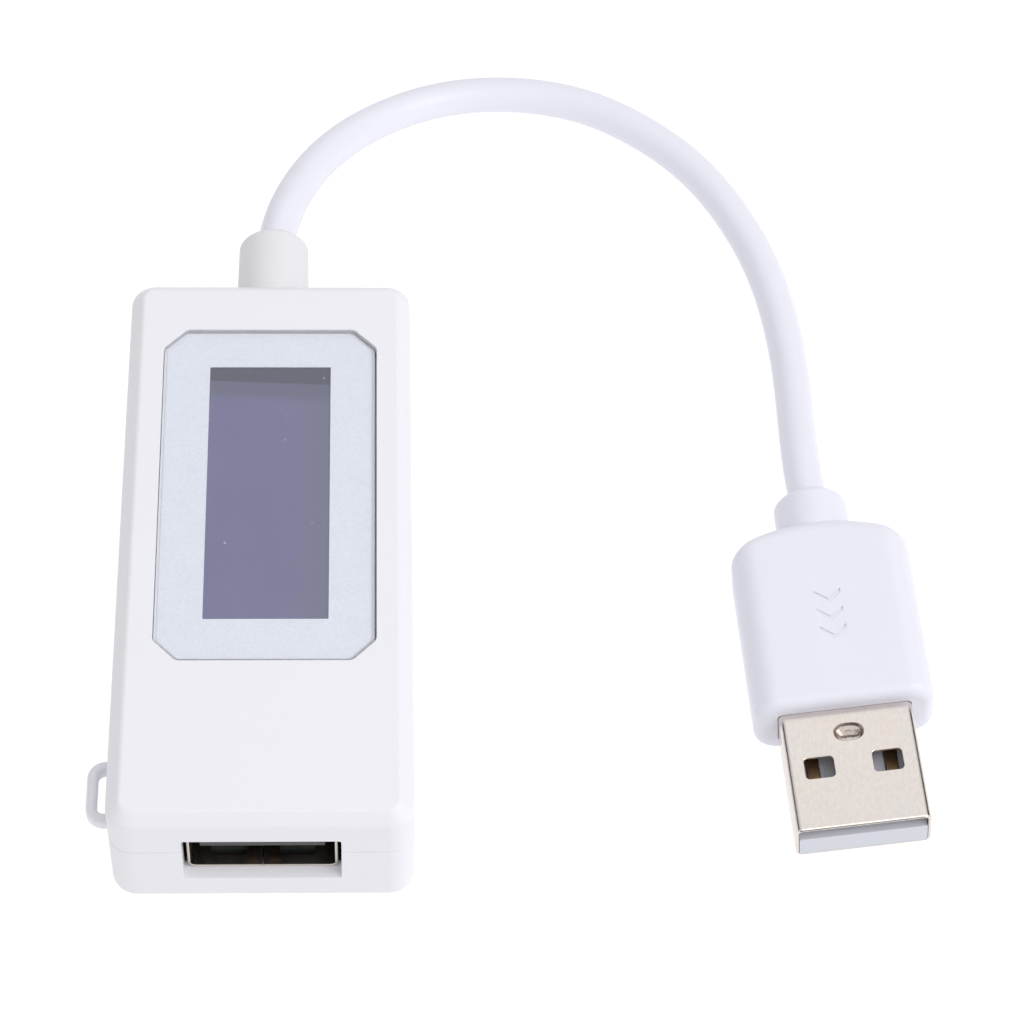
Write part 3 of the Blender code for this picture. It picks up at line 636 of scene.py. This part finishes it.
def make_upper_casing(materials):
    lip_top = SEAM_TOP + LIP_HEIGHT
    lip = LIP_OFFSET - 0.1
    inner = [(WALL, CASE_TOP - 1.8), (WALL, lip_top), (lip, lip_top), (lip, SEAM_TOP)]
    corner_low, corner_high = (0, CASE_TOP - TOP_BEVEL), (TOP_BEVEL, CASE_TOP)
    profile = [(lip, SEAM_TOP), (0, SEAM_TOP), corner_low, corner_high, (4.0, CASE_TOP)]
    outer = rounded(profile, [0, 0.10, 0.7, 0.7, 0], 6, closed=False)[1:-1]
    rings = [case_ring(inset, z) for inset, z in [*inner, *outer]]
    obj = mesh_object("upper_casing", *skin(rings))
    opening = prism(rectangle(7.9, 15.6, 0.3, 3, (0, SCREEN_Y)), CASE_TOP - 3, CASE_TOP + 1)
    boolean(obj, "DIFFERENCE", [opening, cutout(), bush_hole()])
    draw_out(obj)
    soften(obj, 0.10)
    settle(obj)
    # Cut after the rounding, so that the narrow gap keeps its shape
    pocket = prism(window_outline(0.0), POCKET_FLOOR, CASE_TOP + 1)
    boolean(obj, "DIFFERENCE", [pocket, window_gap()])
    finish_mesh(obj)
    place(obj, materials["case"], "case_plastic", "meter", "upper_shell")


# Window and screen


def make_window(materials):
    outside = [(0, PRINT_TOP + 0.02), (0, CASE_TOP), (4, CASE_TOP)]
    rounding = rounded(outside, [0, 0.2, 0], 5, closed=False)
    rings = [at_z(window_outline(-inset - 0.05), z) for inset, z in rounding[:-1]]
    window = mesh_object("window_panel", *skin(rings))
    finish_mesh(window, 60)
    place(window, materials["window"], "window_clear", "meter", "display_window")
    window.data.materials.append(materials["window_edge_painted_shade"])
    # The steep faces around the window get a darker, half clear grey: painted shade for the acrylic's
    # sides
    for face in window.data.polygons:
        if abs(face.normal.z) < 0.35:
            face.material_index = 1

    film = mesh_object("window_print", *prism(window_outline(-0.30), PRINT_TOP - 0.08, PRINT_TOP))
    opening = rectangle(SCREEN_W / 2, SCREEN_L / 2, 0.08, 3, OPENING)
    boolean(film, "DIFFERENCE", [prism(opening, PRINT_TOP - 1, PRINT_TOP + 1)])
    finish_mesh(film)
    place(film, materials["print"], "window_print", "meter", "window_film")

    face = rectangle(FACE_HALF_W, FACE_HALF_L, 0.25, 4, (0, SCREEN_Y))
    screen = mesh_object("screen_face", *prism(face, PRINT_TOP - 0.22, PRINT_TOP - 0.10))
    soften(screen, 0.05, 2)
    finish_mesh(screen)
    place(screen, materials["screen"], "lcd_face", "meter", "lcd_polariser")


# Socket


def make_socket(materials):
    front, back = SOCKET_LOW.y, SOCKET_HIGH.y
    edge = 0.13
    profile = [(0, back), (0, front + edge), (0.05, front + 0.03), (edge, front)]
    profile += [(SHEET - 0.1, front), (SHEET - 0.03, front + 0.04)]
    profile += [(SHEET, front + edge), (SHEET, back)]
    rings = []
    for inset, y in profile:
        outline = rectangle(SOCKET_HALF_W - inset, SOCKET_H / 2 - inset, 0.75 - inset, 8, (0, SOCKET_Z))
        rings.append(at_y(outline, y))
    obj = mesh_object("socket_housing", *skin(rings, closed=True))
    window_x, window_y = 3.0, -25.0
    for side in (-1, 1):
        for x in (-window_x, window_x):
            outline = rectangle(1.55, 2.1, 0.3, 4, (x, window_y))
            z = SOCKET_Z + side * SOCKET_H / 2
            boolean(obj, "DIFFERENCE", [prism(outline, z - 0.6, z + 0.6)])
    leg_y, leg_h = -20, 3.1
    legs = []
    for side in (-1, 1):
        foot = rectangle(SHEET / 2, 0.7, 0.02, 2, (side * (SOCKET_HALF_W - SHEET / 2), leg_y))
        legs.append(prism(foot, SOCKET_LOW.z, SOCKET_LOW.z + leg_h))
    boolean(obj, "UNION", legs)
    seam = rectangle(0.04, 8, 0.01, 2, (0, -21))
    seam_top = SOCKET_Z - SOCKET_H / 2 + SHEET + 0.1
    boolean(obj, "DIFFERENCE", [prism(seam, SOCKET_LOW.z, seam_top)])
    finish_mesh(obj, 35)
    place(obj, materials["socket_nickel"], "shell_metal", "meter", "socket_shell")


# Cord bush and cord


def turned(name, profile, transform):
    """A round piece on an axis along Y, from (y, radius) pairs. It is closed, with a bore."""
    rings = [at_y(circle(radius), y) for y, radius in profile]
    obj = mesh_object(name, *skin(rings, closed=True), transform)
    finish_mesh(obj, 50)
    return obj


def relief(start, end, root_radius, tip_radius, ease):
    """Profile of a strain relief: nearly straight, its end rounded over to the cord's bore."""
    core, bore, bore_depth = 0.9, CORD_R - 0.04, 1.2
    points = [(start, core), (start, root_radius)]
    points += [(end - ease, tip_radius), (end, tip_radius - ease)]
    points += [(end + 0.12, bore), (end - bore_depth, bore), (end - bore_depth, core)]
    radii = [0, 0.12, ease, ease * 0.8, 0.12, 0, 0]
    return rounded(points, radii, 10, closed=False)


def make_bush(materials):
    transform = Matrix.Translation((0, 0, BUSH_Z))
    shoulder = 29.02
    flange = ((25.4, 0.6), (25.4, 3.3), (25.6, 3.5), (27.0, 3.5), (27.2, 3.3))
    profile = [*flange, (27.2, 2.5), (shoulder, 2.5)]
    profile += relief(shoulder, BUSH_END, 3.42, 3.30, 0.58)[1:]
    obj = turned("cord_relief", profile, transform)
    place(obj, materials["bush"], "bush_rubber", "meter", "cord_bush")


def catmull_rom(route):
    """A smooth line through the points of a route, with 12 steps between neighbours."""
    samples = 12
    route = [Vector(point) for point in route]
    ends = [2 * route[0] - route[1]] + route + [2 * route[-1] - route[-2]]
    curve = []
    for i in range(1, len(ends) - 2):
        a, b, c, d = ends[i - 1 : i + 3]
        for step in range(samples):
            t = step / samples
            square = (2 * a - 5 * b + 4 * c - d) * t**2
            cube = (3 * b - a - 3 * c + d) * t**3
            curve.append(0.5 * (2 * b + (c - a) * t + square + cube))
    curve.append(route[-1])
    return curve


def smoothed(points):
    """Evens out the bends of a dense line in 30 rounds, its ends held."""
    for _ in range(30):
        middle = []
        for before, point, after in zip(points, points[1:], points[2:]):
            middle.append((before + point * 2 + after) / 4)
        points = [points[0], points[1], *middle[1:-1], points[-2], points[-1]]
    return points


def make_cord(materials):
    points = smoothed(catmull_rom([IN_BUSH, *CORD_ROUTE, IN_NECK]))
    data = bpy.data.curves.new("cord_jacket", "CURVE")
    data.dimensions = "3D"
    data.bevel_depth = CORD_R * MM
    data.bevel_resolution = 12
    data.use_fill_caps = True
    spline = data.splines.new("POLY")
    spline.points.add(len(points) - 1)
    for target, point in zip(spline.points, points):
        target.co = (*(point * MM), 1.0)
    obj = bpy.data.objects.new("cord_jacket", data)
    bpy.context.scene.collection.objects.link(obj)
    place(obj, materials["cord"], "cord_jacket", "meter", "cord")


# Plug


def mould_ring(y, inset, crown):
    """The mould's outline at y, bowed by crown. Its long edges have points to follow the bow."""
    half_x = MOULD_HALF_W - inset
    corner_points = rectangle(half_x, MOULD_HALF_H - inset, max(2.4 - inset, 0.7), 12)
    outline = []
    for point, following in zip(corner_points, corner_points[1:] + corner_points[:1]):
        outline.append(point)
        if abs(following.x - point.x) > half_x:
            outline += [point.lerp(following, step / 16) for step in range(1, 16)]
    return [Vector((x, y + crown * (1 - (x / half_x) ** 2), z)) for x, z in outline]


def chevron(y):
    """A V that points to the plug's tip."""
    reach, drop, bar = 1.2, 1.0, 0.42
    points = [(0, y - drop), (reach, y), (reach, y + bar), (0, y - drop + bar * 1.1)]
    points += [(-reach, y + bar), (-reach, y)]
    return prism([Vector(point) for point in points], MOULD_HALF_H - 0.14, MOULD_HALF_H + 1)


def make_mould(materials):
    front_edge, back_edge, steps = 1.0, 1.7, 8
    front, back = [], []
    for step in range(steps + 1):
        turn = step / steps * math.pi / 2
        across, along = 1 - math.cos(turn), 1 - math.sin(turn)
        front.append(mould_ring(across * front_edge, along * front_edge, 0))
        back.append(mould_ring(MOULD_L - along * back_edge, across * back_edge, MOULD_CROWN))
    points, faces = skin(front + back)
    size = len(back[-1])
    last = len(points) - size
    # The bowed back face is made of strips from its upper to its lower edge
    strips = [(i, i + 1, size - 2 - i, size - 1 - i) for i in range(size // 2 - 1)]
    faces[1:2] = [tuple(last + i for i in strip) for strip in strips]
    obj = mesh_object("plug_grip", points, faces, PLUG_FRAME)
    pocket = prism(rectangle(PLUG_HALF_W + 0.04, PLUG_HALF_H + 0.04, 0.55, 6), -1, 16.8, at_y)
    neck_seat = prism(circle(NECK_R + 0.03), NECK_START - 0.05, NECK_END, at_y)
    marks = [chevron(y) for y in (7.4, 9.3, 11.2)]
    boolean(obj, "DIFFERENCE", [pocket, neck_seat, *marks], PLUG_FRAME)
    soften(obj, 0.06)
    finish_mesh(obj)
    place(obj, materials["mould"], "plug_mould", "meter", "plug_overmould")
    return obj


def make_neck(materials):
    profile = relief(NECK_START, NECK_END, NECK_R, NECK_R - 0.04, 0.6)
    obj = turned("plug_relief", profile, PLUG_FRAME)
    place(obj, materials["mould"], "plug_mould", "meter", "plug_neck")
    return obj


def dimple_ring(scale, depth=0.0, valley=0.0):
    """An oval around the pressed pit in the shell's top. A valley deepens it along its middle."""
    count = 48
    ring = []
    for step in range(count):
        turn = 2 * math.pi * step / count
        x = math.copysign(abs(math.cos(turn)) ** 0.75, math.cos(turn)) * DIMPLE_HALF_W * scale
        y = math.copysign(abs(math.sin(turn)) ** 0.85, math.sin(turn)) * DIMPLE_HALF_L * scale
        sink = depth + valley * max(0.0, 1 - abs(y + 0.05) / 0.45)
        ring.append(Vector((x, DIMPLE_Y + y, PLUG_HALF_H - sink)))
    return ring


def dimple():
    """The pressed pit: a rounded lip, a slope and a creased floor, with solid metal below."""
    lip = ((1.0, 0.25, 0), (1.0, 0.03, 0), (0.97, 0.012, 0))
    slope = ((0.92, 0.06, 0), (0.86, 0.18, 0), (0.80, 0.29, 0.02))
    floor = ((0.70, 0.32, 0.08), (0.58, 0.33, 0.18))
    floor += tuple((scale, 0.33, 0.22) for scale in (0.4, 0.2, 0.05))
    top = [dimple_ring(scale, depth, valley) for scale, depth, valley in (*lip, *slope, *floor)]
    underside = [dimple_ring(scale, 0.80) for scale in (0.76, 0.05)]
    return skin([*reversed(top), *underside])


def make_plug_shell(materials):
    front, back = -PLUG_REACH, PLUG_ROOT
    # The front edge is rolled in two flat steps. The upper one catches the light from the front
    profile = [(0, back), (0, front + 0.17), (0.055, front + 0.06), (0.14, front)]
    profile += [(SHEET - 0.06, front), (SHEET, front + 0.08), (SHEET, back)]
    rings = []
    for inset, y in profile:
        outline = rectangle(PLUG_HALF_W - inset, PLUG_HALF_H - inset, max(0.62 - inset, 0.1), 8)
        rings.append(at_y(outline, y))
    obj = mesh_object("plug_housing", *skin(rings, closed=True), PLUG_FRAME)
    cuts = []
    for x in (-HOLE_X, HOLE_X):
        outline = rectangle(HOLE_W / 2, HOLE_L / 2, 0.35, 6, (x, HOLE_Y))
        for z in (-PLUG_HALF_H, PLUG_HALF_H):
            cuts.append(prism(outline, z - 0.5, z + 0.5))
    boolean(obj, "DIFFERENCE", cuts, PLUG_FRAME)
    soften(obj, 0.09, 4, 60)
    settle(obj)
    pit = [Vector((point.x, point.y)) for point in dimple_ring(0.985)]
    boolean(obj, "DIFFERENCE", [prism(pit, PLUG_HALF_H - 0.6, PLUG_HALF_H + 0.5)], PLUG_FRAME)
    boolean(obj, "UNION", [dimple()], PLUG_FRAME)
    finish_mesh(obj, 24)
    place(obj, materials["nickel"], "shell_metal", "meter", "plug_shell")
    # The pit's sloped walls take the darker metal: painted shade for the dark reflections inside the pit
    obj.data.materials.append(materials["pit"])
    up = PLUG_FRAME.to_3x3() @ Vector((0, 0, 1))
    centre = PLUG_FRAME @ Vector((0, DIMPLE_Y, PLUG_HALF_H))
    reach, steepest, flattest = 1.55, 0.1, 0.93
    for face in obj.data.polygons:
        in_dimple = (face.center / MM - centre).length < reach
        if in_dimple and steepest < face.normal.dot(up) < flattest:
            face.material_index = 1
    return obj


def make_plug_tongue(materials):
    """The plug's white tongue, with a narrow groove on both sides of each contact."""
    half, floor, crest = PLUG_HALF_W - SHEET - 0.02, -PLUG_HALF_H + SHEET + 0.05, -0.10
    outer, inner, groove_floor, contact_bed = 0.62, 0.50, -0.7, -0.02
    outline = [(-half, crest)]
    for x in CONTACT_XS:
        outline += [(x - outer, crest), (x - outer, groove_floor), (x - inner, groove_floor)]
        outline += [(x - inner, contact_bed), (x + inner, contact_bed)]
        outline += [(x + inner, groove_floor), (x + outer, groove_floor), (x + outer, crest)]
    outline += [(half, crest), (half, floor), (-half, floor)]
    obj = mesh_object("plug_tongue", *prism(outline, -10.1, 5.6, at_y), PLUG_FRAME)
    nose_bottom, nose_top = -PLUG_HALF_H + 0.10, 0.55
    nose_centre = (0, (nose_top + nose_bottom) / 2)
    nose = rectangle(half, (nose_top - nose_bottom) / 2, 0.12, 4, nose_centre)
    bridge = rectangle(half, 0.75, 0.1, 2, (0, 1.1))
    added = [prism(nose, -PLUG_REACH + 0.02, -10.0, at_y), prism(bridge, 0.6, 4.4, at_y)]
    boolean(obj, "UNION", added, PLUG_FRAME)
    soften(obj, 0.05, 2)
    finish_mesh(obj)
    place(obj, materials["tongue"], "inner_plastic", "meter", "plug_insulator")
    return obj


# CAD nodes that stay, with the material and edge rounding that each gets

KEPT = {
    "window_tape": ("tape", 0.0),
    "lcd_glass": ("glass", 0.08),
    "lcd_backlight": ("inner", 0.08),
    "backlight_led": ("inner", 0.06),
    "lcd_holder": ("inner", 0.08),
    "lcd_flex": ("flex", 0.0),
    "flex_connector": ("inner", 0.08),
    "circuit_board": ("board", 0.05),
    "meter_chip": ("chip", 0.08),
    "memory_chip": ("chip", 0.08),
    "voltage_regulator": ("chip", 0.06),
    "current_shunt": ("chip", 0.05),
    "crystal": ("tin", 0.12),
    "input_capacitor": ("ceramic", 0.05),
    "output_capacitor": ("ceramic", 0.05),
    "regulator_capacitor": ("ceramic", 0.05),
    "divider_resistor_1": ("chip", 0.03),
    "divider_resistor_2": ("chip", 0.03),
    "backlight_resistor": ("chip", 0.03),
    "socket_insulator": ("socket_plastic", 0.10),
    "reset_button": ("case", 0.0),
    "reset_switch_plunger": ("chip", 0.08),
    "reset_switch_body": ("tin", 0.08),
    "plug_inner_mould": ("inner", 0.15),
    "wire_red": ("wire_red", 0.0),
    "wire_white": ("wire_white", 0.0),
    "wire_green": ("wire_green", 0.0),
    "wire_black": ("wire_black", 0.0),
}


def finish_kept_nodes(materials):
    kept = dict(KEPT)
    for number in CONTACT_NUMBERS:
        # Darker gold for the socket's contacts: painted shade
        kept[f"socket_contact_{number}"] = ("socket_gold", 0.04)
        # The plug's contacts: gold with painted shade
        kept[f"plug_contact_{number}"] = ("gold", 0.04)
    for node, (material, rounding) in kept.items():
        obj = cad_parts[node]
        obj.data.materials.clear()
        obj.data.materials.append(materials[material])
        if rounding:
            soften(obj, rounding, 2, 40)


# Stage

# The lamps and cards face this place, in metres
MIDDLE = Vector((0.02, 0.01, 0.0))


def make_camera():
    camera = bpy.data.cameras.new("camera")
    camera.lens = 125.63
    camera.sensor_width = 36.0
    camera.clip_start = 0.01
    camera.clip_end = 20.0
    obj = bpy.data.objects.new("camera", camera)
    bpy.context.scene.collection.objects.link(obj)
    azimuth, elevation, roll = (math.radians(angle) for angle in (3.7766, 55.9286, 3.0992))
    forward = Vector((
        math.sin(azimuth) * math.cos(elevation),
        math.cos(azimuth) * math.cos(elevation),
        -math.sin(elevation),
    ))
    level = Vector((math.cos(azimuth), -math.sin(azimuth), 0))
    upright = level.cross(forward)
    right = math.cos(roll) * level + math.sin(roll) * upright
    up = right.cross(forward)
    rotation = Matrix((right, up, -forward)).transposed().to_4x4()
    position = Vector((10.185, -176.928, 280.153)) * MM
    obj.matrix_world = Matrix.Translation(position) @ rotation
    bpy.context.scene.camera = obj


def plain_material(name, colour, roughness=0.8, glow=0.0):
    material, tree, shader = shader_tree(name)
    shader.inputs["Base Color"].default_value = (*colour, 1.0)
    shader.inputs["Roughness"].default_value = roughness
    shader.inputs["Emission Color"].default_value = (1.0, 1.0, 1.0, 1.0)
    shader.inputs["Emission Strength"].default_value = glow
    return material


def make_stage():
    size = 3000.0
    outline = [Vector((x * size, y * size)) for x, y in ((1, 1), (-1, 1), (-1, -1), (1, -1))]
    floor = mesh_object("floor", at_z(outline, -0.02), [(0, 1, 2, 3)])
    floor.data.materials.append(plain_material("floor_white", (0.20, 0.20, 0.20), 0.9, 0.88))


def card(name, centre, size):
    """A dark card outside the picture, which shades one side and shows in the metal's edges.

    Its centre is in metres and its size in millimetres.
    """
    half_x, half_y = size[0] / 2, size[1] / 2
    outline = [Vector((x * half_x, y * half_y)) for x, y in ((1, 1), (-1, 1), (-1, -1), (1, -1))]
    obj = mesh_object(name, at_z(outline, 0), [(0, 1, 2, 3)])
    obj.location = centre
    obj.rotation_euler = (MIDDLE - Vector(centre)).to_track_quat("Z", "Y").to_euler()
    obj.data.materials.append(plain_material(name, (0.02, 0.02, 0.02)))
    obj.visible_camera = False


def softbox(name, centre, size, power):
    """A rectangular lamp, in metres and watts."""
    light = bpy.data.lights.new(name, "AREA")
    light.shape = "RECTANGLE"
    light.size, light.size_y = size
    light.energy = power
    obj = bpy.data.objects.new(name, light)
    bpy.context.scene.collection.objects.link(obj)
    obj.location = centre
    obj.rotation_euler = (MIDDLE - Vector(centre)).to_track_quat("-Z", "Y").to_euler()


def make_light():
    world = bpy.data.worlds.new("studio")
    world.use_nodes = True
    background = world.node_tree.nodes["Background"]
    background.inputs["Color"].default_value = (1.0, 1.0, 1.0, 1.0)
    background.inputs["Strength"].default_value = 0.76
    bpy.context.scene.world = world
    softbox("key", (0.56, -0.21, 0.80), (0.7, 0.7), 4.0)
    softbox("back", (0.08, 0.72, 0.98), (0.9, 0.6), 0.55)
    softbox("front_top", (0.05, -0.42, 0.90), (0.35, 0.20), 0.25)
    card("left_card", (-0.34, 0.27, 0.16), (340, 330))
    card("right_card", (0.46, 0.28, 0.14), (300, 290))
    card("front_card", (-0.14, -0.52, 0.09), (640, 190))
    bpy.context.scene.view_settings.view_transform = "Standard"


def main():
    make_camera()
    materials = make_materials()
    grip = make_mould(materials)
    neck = make_neck(materials)
    housing = make_plug_shell(materials)
    tongue = make_plug_tongue(materials)
    make_cord(materials)
    make_bush(materials)
    make_lower_casing(materials)
    make_upper_casing(materials)
    make_window(materials)
    make_socket(materials)
    finish_kept_nodes(materials)
    make_stage()
    make_light()


main()
